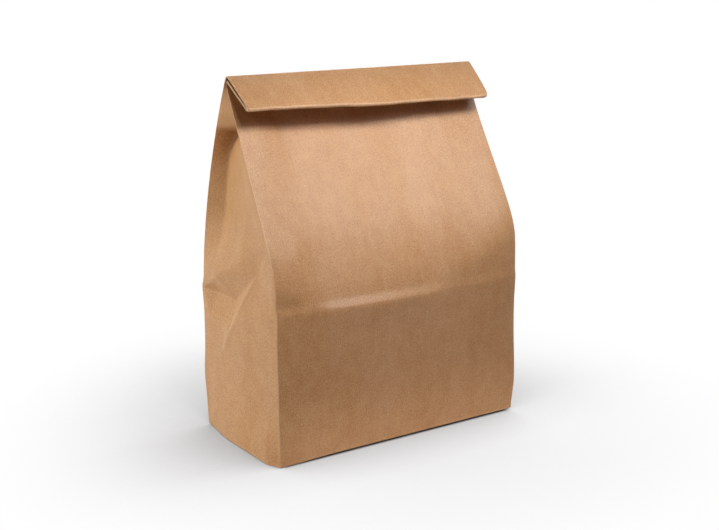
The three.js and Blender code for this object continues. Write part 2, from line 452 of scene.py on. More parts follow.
def waves(shape, across, up):
    """Height of soft waves: a sum of plane waves of seeded length, direction and phase, the longer ones
    higher in proportion, all of them stretched up the sheet."""
    draw = np.random.default_rng(shape.seed)
    total = np.zeros(np.broadcast(across, up).shape)
    for _ in range(shape.count):
        length = shape.shortest * (shape.longest / shape.shortest) ** draw.random()
        angle = draw.uniform(0, 2 * math.pi)
        phase = draw.uniform(0, 2 * math.pi)
        along = across * math.cos(angle) + up * math.sin(angle) / shape.stretch
        total += np.sin(along * 2 * math.pi / (length * MM) + phase) * length / shape.longest
    return shape.height * MM * total / math.sqrt(shape.count)


def calm_middle(half, across, z, foot, top):
    """1 in the middle of a panel, and 0 at its folded edges, at the floor and where it closes: a product
    of S curves, over EDGE_CALM at the edges, up to `foot` at the floor and between the two heights of
    `top`."""
    inside = smooth_step(half - np.abs(across), 0, EDGE_CALM)
    return inside * smooth_step(z, 0, foot) * (1 - smooth_step(z, *top))


# Panels of the standing bag, as functions of a point of the panel

def neck_height(sizes):
    """Where the flattened tube, which already leans to the front there, starts to bend over the ridge:
    below the ridge by the rise of that bend and half the tube's thickness."""
    ridge = sizes.height + RIDGE_RISE
    return ridge - RIDGE_RADIUS * (1 + math.cos(NECK_HEADING)) - OUTER_THICKNESS / 2


def ridge_line(sizes, x):
    """Y of the neck's middle line, a straight line that runs a little skew to the panels."""
    return sizes.ridge_setback - RIDGE_SKEW * x / sizes.panel_width


def neck_fade(sizes, z):
    """1 on the standing bag, and 0 where its layers lie flat in the neck, with an S curve between."""
    neck = neck_height(sizes)
    return 1 - smooth_step(z, neck - NECK_DROP, neck)


def swell(sizes, z):
    """A swell that starts at the base as an exponential and dies away from the crease to the neck."""
    return (1 - np.exp(-z / SWELL_RISE)) * (1 - smooth_step(z, sizes.gusset_width, neck_height(sizes)))


def crease(sizes, z):
    """The bent strip along the crease, as a share of its height: a tent that is steep above its crest and
    gentle below it."""
    above = z - sizes.gusset_width - CREASE_RISE
    return tent(above / np.where(above > 0, CREASE_ABOVE, CREASE_BELOW), CREASE_ROUND)


def front_relief(sizes, x, z):
    """How far the front panel stands out from its plain form: the crease, a few dents and soft waves."""
    half = sizes.panel_width / 2
    lost = 1 - smooth_step(x / half, *FADE_LEFT) + smooth_step(x / half, *FADE_RIGHT)
    bent = CREASE_RELIEF * (1 - CREASE_FADE * lost) * crease(sizes, z)
    soft = waves(FRONT_WAVES, x, z) * calm_middle(half, x, z, PANEL_CALM_FOOT, FRONT_CALM_TOP)
    return bent + dents(FRONT_DENTS, x, z) + soft


def front_lean(sizes, x, z):
    """How far the front panel has leaned back at a point, as a share of its whole lean: the sum of its
    bends, each a soft ramp, until the layers lie flat in the neck."""
    half = sizes.panel_width / 2
    by_left = 1 - smooth_step(x + half, 0, LEFT_HOLD)
    by_right = np.clip(1 - (half - x) / RIGHT_HOLD, 0, 1)
    neck = neck_height(sizes)

    def leaned(height):
        total = 0.0
        for b in FRONT_BENDS:
            rise = mix(mix(b.middle, b.left, by_left), b.right, by_right) * MM
            softness = b.softness * MM + RIGHT_SOFTENING * by_right
            total = total + b.slope * soft_ramp(height - sizes.gusset_width - rise, softness)
        whole = sum(b.slope for b in FRONT_BENDS)
        return total - whole * soft_ramp(height - neck + NECK_DROP, NECK_SOFTNESS)

    return np.maximum(leaned(z) / leaned(neck), 0)


def front_panel(sizes, x, z):
    """Y of the front panel. It bulges out as it climbs to the crease, as a cosine across, and leans back
    from there to the neck. Beside its folded edges it stays upright for longer, and then leans more
    steeply."""
    closed = ridge_line(sizes, x) - OUTER_THICKNESS / 2
    climb = 1 - soft_ramp(1 - z / sizes.gusset_width, CLIMB_SOFTNESS)
    by_left = 1 - smooth_step(x + sizes.panel_width / 2, 0, LEFT_HOLD)
    bulge = CREASE_BULGE * np.cos(math.pi * x / sizes.panel_width) - LEFT_EDGE_LEAN * by_left
    upright = -sizes.gusset_width / 2 - bulge * climb
    foot = FOOT_BULGE * (x / sizes.panel_width + 0.5) * smooth_step(z, 0, FOOT_BULGE_HEIGHT)
    foot = foot * bell(np.maximum(z - FOOT_BULGE_HEIGHT, 0), FOOT_BULGE_SPREAD)
    relief = foot + neck_fade(sizes, z) * front_relief(sizes, x, z)
    return mix(upright, closed, front_lean(sizes, x, z)) - relief


def back_panel(sizes, x, z):
    """Y of the back panel: swollen a little, then curving over to the ridge as a power of the climb."""
    neck = neck_height(sizes)
    half = sizes.panel_width / 2
    start = sizes.gusset_width - BACK_LEAN_DROP
    climbed = np.maximum(0, (z - start) / (neck - start)) ** BACK_LEAN_POWER
    upright = sizes.gusset_width / 2 + BACK_SWELL * swell(sizes, z)
    closed = ridge_line(sizes, x) + OUTER_THICKNESS / 2
    corner = BACK_CORNER_BULGE * bell(z - BACK_CORNER_HEIGHT, BACK_CORNER_SPREAD)
    corner = corner * (1 - smooth_step(x, -half, 0))
    soft = waves(BACK_WAVES, x, z) * calm_middle(half, x, z, PANEL_CALM_FOOT, BACK_CALM_TOP)
    relief = corner + neck_fade(sizes, z) * (CREASE_RELIEF * crease(sizes, z) + soft)
    return mix(upright, closed, climbed) + relief


def left_relief(sizes, y, z):
    """How far the left side stands out from its plain form. It bulges above a fold that falls from the
    front shoulder to the back end of the crease, slants in from there to a hollow, and comes out again
    below, in flat facets with rounded edges: the mean of the facets at five places close together. Sharp
    folds cross it, and it stands out at its foot."""
    edge = FACET_ROUNDING
    shifts = ((0, 0), (edge, 0), (-edge, 0), (0, edge), (0, -edge))
    folded = sum(facets(LEFT_CORNERS, LEFT_FACETS, y + dy, z + dz) for dy, dz in shifts) / len(shifts)
    half = sizes.gusset_width / 2
    foot = smooth_step(half + y, 0, LEFT_FOOT_FRONT) * smooth_step(half - y, 0, LEFT_FOOT_BACK)
    foot = LEFT_FOOT_BULGE * foot * (1 - smooth_step(z, 0, LEFT_FOOT_HEIGHT))
    small = waves(LEFT_WAVES, y, z) + folds(LEFT_FOLDS, y, z)
    return foot + folded + small * calm_middle(half, y, z, SIDE_CALM_FOOT, SIDE_CALM_TOP)


def right_relief(sizes, y, z):
    """How far the right side stands out from its plain form: a soft hollow, a fold and soft waves."""
    small = waves(RIGHT_WAVES, y, z) + folds(RIGHT_FOLDS, y, z)
    return small * calm_middle(sizes.gusset_width / 2, y, z, SIDE_CALM_FOOT, SIDE_CALM_TOP)


def side_tuck(sizes, z):
    """How far a side has folded in between the panels at a height, and the share of its depth behind its
    deepest line: straight steps between the given levels, rounded by a mean over a few millimetres."""
    level = [tuck.level * MM for tuck in SIDE_TUCKS]
    inset = [tuck.inset * MM for tuck in SIDE_TUCKS]
    behind = [tuck.behind for tuck in SIDE_TUCKS]
    shift = TUCK_ROUNDING * np.linspace(-1, 1, TUCK_SAMPLES)[:, None, None]
    above = z - neck_height(sizes) + shift
    return np.interp(above, level, inset).mean(axis=0), np.interp(above, level, behind).mean(axis=0)


def valley_profile(q, behind):
    """Share of the inset across a side, from its front edge at 0 to its back edge at 1: a slope down to the
    deepest line and a slope up behind it, as the soft smaller of the two."""
    down = q / (1 - behind)
    up = (1 - q) / behind
    return -VALLEY_SOFTNESS * np.logaddexp(-down / VALLEY_SOFTNESS, -up / VALLEY_SOFTNESS)


# Rings of the tube

def edge_steps(steps, length):
    """Places along a panel from 0 to 1: even steps, with closer ones beside its two folded edges."""
    near = np.array(EDGE_OFFSETS) / length
    inner = np.linspace(near[-1], 1 - near[-1], steps + 1 - 2 * (len(near) - 1))
    return np.concatenate([near[:-1], inner, 1 - near[-2::-1]])


def side_points(half, front, back, tuck, lip, relief):
    """One side of every ring, from the front panel's edge to the back panel's, as outward distance and Y:
    an arc round the front fold, the profile of the tucked side, and an arc round the back fold. Each arc
    is two lips wide. The two end points belong to the panels and are left out."""
    inset, behind = tuck
    free = np.maximum(back - front - 4 * lip, LEAST_DEPTH)
    front_turn = np.arctan2(inset, (1 - behind) * free)
    back_turn = np.arctan2(inset, behind * free)
    step = np.linspace(0, 1, LIP_STEPS + 1)
    angle = mix(-math.pi / 2, front_turn, step[1:])
    front_out = half - lip + lip * np.cos(angle)
    front_y = front + lip + lip * np.sin(angle)
    angle = mix(-back_turn, math.pi / 2, step[:-1])
    back_out = half - lip + lip * np.cos(angle)
    back_y = back - lip + lip * np.sin(angle)
    q = edge_steps(SIDE_STEPS, FRAME_DEPTH)[1:-1]
    y = mix(front_y[:, -1:], back_y[:, :1], q)
    out = mix(front_out[:, -1:], back_out[:, :1], q) - inset * valley_profile(q, behind) + relief(y)
    return np.hstack([front_out, out, back_out]), np.hstack([front_y, y, back_y])


def rings(half, lip, tuck, front, back, left, right):
    """X and Y of every ring, a row for each, anticlockwise: front panel, right side, back panel, left side.
    `front` and `back` give Y at an X, and `left` and `right` give how far a side stands out at a Y."""
    across = (half - lip) * (2 * edge_steps(PANEL_STEPS, FRAME_WIDTH) - 1)
    front_y = front(across)
    back_y = back(across)
    right_out, right_y = side_points(half, front_y[:, -1:], back_y[:, -1:], tuck, lip, right)
    left_out, left_y = side_points(half, front_y[:, :1], back_y[:, :1], tuck, lip, left)
    x = np.hstack([across, right_out, across[:, ::-1], -left_out[:, ::-1]])
    y = np.hstack([front_y, right_y, back_y[:, ::-1], left_y[:, ::-1]])
    return x, y


def body_heights(sizes):
    """Heights of the rings from the rounded base edge to the neck, in equal shares of a density that is
    highest at the crease and near the neck."""
    z = np.linspace(sizes.base_edge, neck_height(sizes), HEIGHT_SAMPLES)
    density = 1 + CREASE_CLOSENESS * bell(z - sizes.gusset_width, CREASE_CLOSE_SPREAD)
    density = density + NECK_CLOSENESS * smooth_step(z, *NECK_CLOSE_RISE)
    share = np.cumsum(density)
    share = (share - share[0]) / (share[-1] - share[0])
    return np.interp(np.linspace(0, 1, BODY_ROWS), share, z)


def standing_rings(sizes):
    """Points of the rings that stand level, from the base to the neck. The first ones shrink round a
    quarter circle at the base's edge."""
    turn = np.linspace(0, math.pi / 2, EDGE_ROWS + 1)[:-1]
    z = np.concatenate([sizes.base_edge * (1 - np.cos(turn)), body_heights(sizes)])[:, None]
    shrink = np.zeros_like(z)
    shrink[:EDGE_ROWS, 0] = sizes.base_edge * (1 - np.sin(turn))
    lip = mix(sizes.edge_radius, OUTER_LIP, smooth_step(z, *EDGE_PINCH))
    x, y = rings(
        sizes.panel_width / 2 - shrink,
        lip,
        side_tuck(sizes, z),
        lambda across: front_panel(sizes, across, z) + shrink,
        lambda across: back_panel(sizes, across, z) - shrink,
        lambda depth: left_relief(sizes, depth, z),
        lambda depth: right_relief(sizes, depth, z),
    )
    return np.stack([x, y, np.broadcast_to(z, x.shape)], axis=-1)


def roll_steps(sizes, x):
    """Heading and length of each step along the roll's middle line at each X, from the neck to the mouth:
    round the ridge, down the outer turn, round the fold at the front edge and up the inner turn. The
    strip is shorter at its rounded corners and sags a little in the middle."""
    half = sizes.panel_width / 2
    corner = np.where(x > 0, RIGHT_CORNER, LEFT_CORNER)
    past = np.clip(np.abs(x) - half + corner, 0, corner)
    short = corner - np.sqrt(corner ** 2 - past ** 2)
    sag = ROLL_SAG * bell(x - ROLL_SAG_PLACE, ROLL_SAG_SPREAD) - short + waves(ROLL_WAVES, x, 0 * x)
    chord = math.pi + sizes.roll_droop + DROOP_SKEW * x / sizes.panel_width
    start = NECK_HEADING + 0 * x
    outer_start = chord - OUTER_BOW
    outer_end = chord + OUTER_BOW
    inner = chord + math.pi - INNER_SPREAD
    stretches = [
        (start, outer_start, RIDGE_RADIUS * (outer_start - start), RIDGE_ROWS),
        (outer_start, outer_end, sizes.roll_width + sag, OUTER_ROWS),
        (outer_end, inner, TURN_RADIUS * (inner - outer_end), TURN_ROWS),
        (inner, inner, sizes.mouth_turn + sag, INNER_ROWS),
    ]
    heading = [mix(a, b, np.linspace(0, 1, rows + 1)[1:, None]) for a, b, _, rows in stretches]
    length = [np.tile(total / rows, (rows, 1)) for _, _, total, rows in stretches]
    return np.vstack(heading), np.vstack(length)


def rolled_rings(sizes):
    """Points of the rings from the ridge to the mouth: flat rings, set across the roll's middle line,
    which is the running sum of its steps."""
    turned = smooth_step(np.arange(1.0, TURN_ROWS + 1), 0, TURN_ROWS)
    share = np.concatenate([np.zeros(RIDGE_ROWS + OUTER_ROWS), turned, np.ones(INNER_ROWS)])[:, None]
    thick = mix(OUTER_THICKNESS, INNER_THICKNESS, share)
    x, offset = rings(
        sizes.panel_width / 2 + 0 * share,
        mix(OUTER_LIP, INNER_LIP, share),
        side_tuck(sizes, neck_height(sizes) + 0 * share),
        lambda across: 0 * across - thick / 2,
        lambda across: 0 * across + thick / 2,
        lambda depth: 0 * depth,
        lambda depth: 0 * depth,
    )
    heading, length = roll_steps(sizes, x[0])
    before = np.vstack([np.full_like(heading[:1], NECK_HEADING), heading[:-1]])
    middle = (before + heading) / 2
    y = ridge_line(sizes, x[0]) + np.cumsum(length * np.cos(middle), axis=0)
    z = neck_height(sizes) + np.cumsum(length * np.sin(middle), axis=0)
    return np.stack([x, y + offset * np.sin(heading), z - offset * np.cos(heading)], axis=-1)


def lean_right(sizes, points):
    """The same points with the right end of the ridge a little higher and further in than the left one:
    shifts that grow with the height as an S curve, and evenly from the middle to the ends."""
    half = sizes.panel_width / 2
    climbed = smooth_step(points[..., 2], TAPER_START, sizes.height)
    side = np.clip(points[..., 0] / half, -1, 1)
    shift = np.zeros_like(points)
    shift[..., 0] = -RIGHT_TAPER * climbed * np.maximum(side, 0)
    shift[..., 2] = RIDGE_TILT * climbed * side
    return points + shift


def lift_front(sizes, points):
    """The same points with the front edge of the base off the floor: a lift that is whole at the edge and
    gone a little further back, and that also fades up the front panel."""
    from_front = points[..., 1] + sizes.gusset_width / 2
    near = 1 - smooth_step(from_front, 0, FRONT_LIFT_DEPTH)
    low = 1 - smooth_step(points[..., 2], 0, FRONT_LIFT_HEIGHT)
    inwards = smooth_step(points[..., 0] + sizes.panel_width / 2, 0, LEFT_HOLD)
    shift = np.zeros_like(points)
    shift[..., 2] = FRONT_LIFT * near * low * inwards
    return points + shift


def base_points(ring):
    """Points of the base as a grid of columns from left to right and rows from front to back: a Coons patch
    between the four stretches of the lowest ring."""
    ends = np.cumsum([PANEL_STEPS, SIDE_SPAN, PANEL_STEPS])
    closed = np.vstack([ring, ring[:1]])
    front = closed[:ends[0] + 1]
    right = closed[ends[0]:ends[1] + 1]
    back = closed[ends[1]:ends[2] + 1][::-1]
    left = closed[ends[2]:][::-1]
    s = ((front[:, 0] - front[0, 0]) / np.ptp(front[:, 0]))[:, None, None]
    t = ((right[:, 1] - right[0, 1]) / np.ptp(right[:, 1]))[None, :, None]
    ruled = mix(front[:, None], back[:, None], t) + mix(left[None], right[None], s)
    corners = mix(mix(front[0], front[-1], s), mix(back[0], back[-1], s), t)
    return ruled - corners


def base_relief(sizes, x, y):
    """Height of the base above the floor. The flap that was glued last lies lowest, from the front edge
    to past the middle with slanted ends. The flap under it lies one sheet higher, and the ends of the
    sides two sheets higher. The rim stays on the floor."""
    half_x = sizes.panel_width / 2
    half_y = sizes.gusset_width / 2
    soft = FLAP_SOFTNESS
    from_end = half_x - np.abs(x) - FLAP_CLEARANCE * half_y
    reach = np.minimum(FLAP_OVERLAP - y, from_end + FLAP_SLANT * (y + half_y))
    last_flap = smooth_step(reach, -soft, soft)
    under_flap = smooth_step(from_end + FLAP_SLANT * (half_y - y), -soft, soft)
    layers = 1 + (1 - last_flap) * (2 - under_flap)
    rim = np.minimum(half_x - np.abs(x), half_y - np.abs(y))
    return PAPER_SHEET * layers * smooth_step(rim, *BASE_RIM)


# The bag's mesh

SHEET_SPARE = 20 * MM  # the map of the flat sheet is longer than the paper by this much


def base_corners():
    """Number of each point of the base's grid: the rim takes the lowest ring's points, and the inside
    follows all the rings."""
    inside = (PANEL_STEPS - 1, SIDE_SPAN - 1)
    number = np.empty((PANEL_STEPS + 1, SIDE_SPAN + 1), int)
    number[1:-1, 1:-1] = ALL_ROWS * RING_STEPS + np.arange(math.prod(inside)).reshape(inside)
    number[:, 0] = np.arange(PANEL_STEPS + 1)
    number[-1] = PANEL_STEPS + np.arange(SIDE_SPAN + 1)
    number[:, -1] = 2 * PANEL_STEPS + SIDE_SPAN - np.arange(PANEL_STEPS + 1)
    number[0] = (RING_STEPS - np.arange(SIDE_SPAN + 1)) % RING_STEPS
    return number


def cell_corners(grid):
    """What a grid holds at the four corners of each of its cells, in order round the cell."""
    corners = np.stack([grid[:-1, :-1], grid[:-1, 1:], grid[1:, 1:], grid[1:, :-1]], axis=2)
    return corners.reshape(-1, *corners.shape[2:])


def sheet_across(sizes):
    """Place of each point of a ring across the flat sheet, with the first point once more at the far
    edge."""
    panel = sizes.panel_width * edge_steps(PANEL_STEPS, FRAME_WIDTH)
    side = np.linspace(0, sizes.gusset_width, SIDE_SPAN + 1)
    starts = np.cumsum([0, sizes.panel_width, sizes.gusset_width, sizes.panel_width])
    stretches = [start + stretch[:-1] for start, stretch in zip(starts, [panel, side, panel, side])]
    return np.concatenate([*stretches, [2 * (sizes.panel_width + sizes.gusset_width)]])


def sheet_along(sizes, points):
    """Place of each ring along the flat sheet, above the base: the distance that the front panel's middle
    has run."""
    middle = points[:, PANEL_STEPS // 2]
    run = np.linalg.norm(np.diff(middle, axis=0), axis=-1)
    return sizes.gusset_width + np.concatenate([[0], np.cumsum(run)])


def sheet_size(sizes):
    """Width and length of the flat sheet that the map covers: round the tube, and from the base to the
    mouth."""
    width = 2 * (sizes.panel_width + sizes.gusset_width)
    length = sizes.gusset_width + sizes.height + 2 * sizes.roll_width + SHEET_SPARE
    return np.array([width, length])


def fold_wear_and_highlight(points):
    """How far the paper is turned pale at each point of the rings: the most of what the folded edges, the
    sharp fold of the left side, the rim of the base and the front edge of the roll give it. The sharp fold
    and the rim are rubbed pale; the upright folded edges, most of all high up, and the roll's front edge
    are rubbed and carry a painted highlight."""
    columns = points.shape[1]
    z = points[..., 2]
    lip = np.zeros(columns)
    for corner in (PANEL_STEPS, 2 * PANEL_STEPS + SIDE_SPAN):
        lip[corner + 1:corner + LIP_STEPS] = 1
        lip[corner + SIDE_SPAN - LIP_STEPS + 1:corner + SIDE_SPAN] = 1
    # the upright folded edges: rubbed, with a painted highlight that grows above the given heights
    wear_and_highlight = lip * mix(LOW_EDGE_WEAR_AND_HIGHLIGHT, 1.0, smooth_step(z, *EDGE_WEAR_AND_HIGHLIGHT_RISE))
    left = slice(2 * PANEL_STEPS + SIDE_SPAN + LIP_STEPS, columns - LIP_STEPS)
    side = points[:STANDING_ROWS, left]
    sharp = bell(1 - fold_height(SHARP_FOLD, side[..., 1], side[..., 2]), SHARP_WEAR_SPREAD)
    wear_and_highlight[:STANDING_ROWS, left] = np.maximum(wear_and_highlight[:STANDING_ROWS, left], SHARP_WEAR * sharp)
    rim = slice(0, EDGE_ROWS + 1)
    wear_and_highlight[rim] = np.maximum(wear_and_highlight[rim], RIM_WEAR)
    # the roll's front edge: rubbed, with a painted highlight
    turn = slice(FIRST_TURN_ROW, FIRST_TURN_ROW + TURN_ROWS)
    wear_and_highlight[turn] = np.maximum(wear_and_highlight[turn], TURN_WEAR_AND_HIGHLIGHT)
    return wear_and_highlight


def bag_mesh(sizes):
    """The bag as one closed mesh: quads between the rings and over the base, and one face across the
    mouth. Its UV map is the flat sheet, and an attribute holds how rubbed its folds are, with a painted
    highlight along some of them."""
    points = lean_right(sizes, np.vstack([standing_rings(sizes), rolled_rings(sizes)]))
    inside = base_points(points[0])[1:-1, 1:-1]
    inside[..., 2] = base_relief(sizes, inside[..., 0], inside[..., 1])
    vertices = lift_front(sizes, np.vstack([points.reshape(-1, 3), inside.reshape(-1, 3)]))

    here = np.arange(ALL_ROWS * RING_STEPS).reshape(ALL_ROWS, RING_STEPS)
    mouth = here[-1]
    wall = cell_corners(np.hstack([here, here[:, :1]]))
    floor = cell_corners(base_corners())

    u, v = np.broadcast_arrays(sheet_across(sizes)[None], sheet_along(sizes, points)[:, None])
    sheet = np.stack([u, v], axis=-1)
    wall_map = cell_corners(sheet).reshape(-1, 2)
    floor_map = vertices[floor.ravel(), :2] + np.array([sizes.panel_width, sizes.gusset_width]) / 2
    flat = np.vstack([wall_map, floor_map, sheet[-1, :-1]]) / sheet_size(sizes)

    mesh = bpy.data.meshes.new(PIECE)
    mesh.from_pydata(vertices.tolist(), [], [*wall.tolist(), *floor.tolist(), mouth.tolist()])
    mesh.uv_layers.new(name=SHEET_MAP).uv.foreach_set("vector", flat.astype(np.float32).ravel())
    # the folds' paleness, partly rubbing and partly a painted highlight
    wear_and_highlight = np.zeros(len(vertices), np.float32)
    wear_and_highlight[:here.size] = fold_wear_and_highlight(points).ravel()
    mesh.attributes.new(WEAR_AND_HIGHLIGHT, "FLOAT", "POINT").data.foreach_set("value", wear_and_highlight)
    mesh.polygons.foreach_set("use_smooth", np.ones(len(mesh.polygons), bool))
    if mesh.validate():
        raise RuntimeError("the bag's mesh has faces that can't be used")
    return mesh


# Materials

def add_node(tree, kind, inputs=(), **settings):
    """Adds a node, sets its settings, and sets or links its inputs, given as socket: value or output."""
    node = tree.nodes.new(kind)
    for name, value in settings.items():
        setattr(node, name, value)
    for socket, value in dict(inputs).items():
        if isinstance(value, bpy.types.NodeSocket):
            tree.links.new(value, node.inputs[socket])
        else:
            node.inputs[socket].default_value = value
    return node


def new_tree(owner):
    """The emptied node tree of a material or a world."""
    owner.use_nodes = True
    owner.node_tree.nodes.clear()
    return owner.node_tree


class Layer(NamedTuple):
    """A layer of the paper's look: the width and length of its grains on the sheet in millimetres, its
    detail, the values of its noise at which it is absent and whole, its strength, and the setting that
    holds its colour."""
    across: float
    along: float
    detail: float
    absent: float
    whole: float
    strength: float
    colour: str


# Real fibres are a few hundredths of a millimetre wide. They are drawn as tufts that the render can show.
PAPER_LAYERS = {
    "clouds": Layer(9, 12, 3, 0.3, 0.7, 1, "paper_light"),
    "bands": Layer(38, 130, 2, 0.35, 0.7, 0.22, "fibre_light"),
    "streaks": Layer(3.2, 22, 3, 0.3, 0.7, 0.1, "fibre_dark"),
    "tufts": Layer(2.2, 2.8, 2, 0.35, 0.7, 0.14, "fibre_dark"),
    "dark fibres": Layer(0.9, 1.3, 2, 0.5, 0.25, 0.38, "fibre_dark"),
    "light fibres": Layer(0.9, 1.3, 2, 0.5, 0.75, 0.38, "fibre_light"),
    "bark": Layer(1.3, 1.9, 0, 0.86, 0.9, 0.5, "bark"),
}
GRAIN_ROUGHNESS = 0.55  # share of a noise that each finer step of its detail keeps
FOLD_PALENESS = 0.5  # how far the palest fold turns to its own colour, which stands for wear and, on some folds, a painted highlight
FIBRE_BUMP = 0.12 * MM  # height of the raised fibres
FIBRE_BUMP_STRENGTH = 0.35
GLOSS_RANGE = 0.05  # how far the roughness goes up and down with the clouds
PAPER_IOR = 1.45
PAPER_SPECULAR = 0.25  # an open, fibrous surface reflects about half as much as a smooth one
MIX_FROM = 6  # sockets of a Mix node that mixes colours
MIX_TO = 7
MIX_RESULT = 2


def kraft_paper(sizes, look):
    """Uncoated brown kraft paper: long unbleached fibres, pressed and dried on a roller. That gives a
    brown that is cloudy over a few millimetres, fine streaks along the sheet, a few dark specks of bark,
    a dull gloss, and folds that are rubbed paler where the fibres break. The pale folds also carry a
    painted highlight along the upright folded edges and the front edge of the roll."""
    material = bpy.data.materials.new("kraft_paper")
    tree = new_tree(material)
    sheet = sheet_size(sizes) / MM
    flat = add_node(tree, "ShaderNodeUVMap", uv_map=SHEET_MAP).outputs["UV"]
    colour = (*look.paper_dark, 1)
    noise = {}
    for name, layer in PAPER_LAYERS.items():
        scale = (sheet[0] / layer.across, sheet[1] / layer.along, 1)
        place = add_node(tree, "ShaderNodeMapping", {"Vector": flat, "Scale": scale}).outputs["Vector"]
        grain = {"Vector": place, "Scale": 1, "Detail": layer.detail, "Roughness": GRAIN_ROUGHNESS}
        noise[name] = add_node(tree, "ShaderNodeTexNoise", grain, noise_dimensions="2D").outputs["Fac"]
        limits = {"From Min": layer.absent, "From Max": layer.whole, "To Max": layer.strength}
        share = add_node(tree, "ShaderNodeMapRange", {"Value": noise[name], **limits}).outputs["Result"]
        inputs = {"Factor": share, MIX_FROM: colour, MIX_TO: (*getattr(look, layer.colour), 1)}
        colour = add_node(tree, "ShaderNodeMix", inputs, data_type="RGBA").outputs[MIX_RESULT]
    # paleness of the folds: rubbing, and a painted highlight along the upright folded edges and the roll's
    # front edge
    worn_or_highlit = add_node(tree, "ShaderNodeAttribute", attribute_name=WEAR_AND_HIGHLIGHT).outputs["Fac"]
    limits = {"Value": worn_or_highlit, "To Max": FOLD_PALENESS}
    share = add_node(tree, "ShaderNodeMapRange", limits).outputs["Result"]
    inputs = {"Factor": share, MIX_FROM: colour, MIX_TO: (*look.worn_fold, 1)}
    colour = add_node(tree, "ShaderNodeMix", inputs, data_type="RGBA").outputs[MIX_RESULT]
    limits = {"To Min": look.roughness - GLOSS_RANGE, "To Max": look.roughness + GLOSS_RANGE}
    gloss = add_node(tree, "ShaderNodeMapRange", {"Value": noise["clouds"], **limits}).outputs["Result"]
    relief = {"Height": noise["light fibres"], "Strength": FIBRE_BUMP_STRENGTH, "Distance": FIBRE_BUMP}
    bump = add_node(tree, "ShaderNodeBump", relief).outputs["Normal"]
    finish = {"Base Color": colour, "Roughness": gloss, "Normal": bump}
    finish.update({"IOR": PAPER_IOR, "Specular IOR Level": PAPER_SPECULAR})
    shader = add_node(tree, "ShaderNodeBsdfPrincipled", finish).outputs["BSDF"]
    add_node(tree, "ShaderNodeOutputMaterial", {"Surface": shader})
    return material


WHITE = (1, 1, 1, 1)
WHITE_STRENGTH = 1.0  # at which a glowing surface renders white
SHADOW_REACH = 0.16  # metres from the middle of the bag at which the floor starts to fade to white
WHITE_REACH = 0.36  # and at which it is white
CONTACT_REACH = 1.5 * MM  # the painted contact shadow under the bag fades over this distance inside its outline and outside
CONTACT_INSET = 5 * MM  # that outline lies this far inside the panels' two ends
SKY_REACH = 0.22  # metres within which a thing hides the floor's sky, which darkens the floor's glow as painted shade
FLOOR_LIFT = 0.92  # glow of the floor under an open sky, without the lamps' own light
SIDE_SHADE = 0.0  # its painted shade under a hidden sky, beside the bag and behind it
FRONT_SHADE = 0.5  # the same in front of the bag
FRONT_SPAN = (-2, -0.5)  # where the one shade passes into the other, in halves of the bag's depth
KEY_DIRECTION = (0.35, -0.67, 0.65)  # the painted cast shadow falls away from this side of the sky, in front and to the right
KEY_REACH = 0.3  # metres within which a thing hides that part
CAST_SHADE = 0.6  # share of the floor's glow left in the painted cast shadow, where that part of the sky is hidden
FLOOR_LIT = (0.15, 0.15, 0.15)  # share of the lamps' own light and shadow that the floor shows


def seen_rays(tree):
    """1 for the rays that show a surface: straight from the camera, or by a reflection or through glass."""
    path = add_node(tree, "ShaderNodeLightPath").outputs
    seen = path["Is Camera Ray"]
    for kind in ("Is Glossy Ray", "Is Transmission Ray"):
        seen = add_node(tree, "ShaderNodeMath", {0: seen, 1: path[kind]}, operation="MAXIMUM").outputs[0]
    return seen


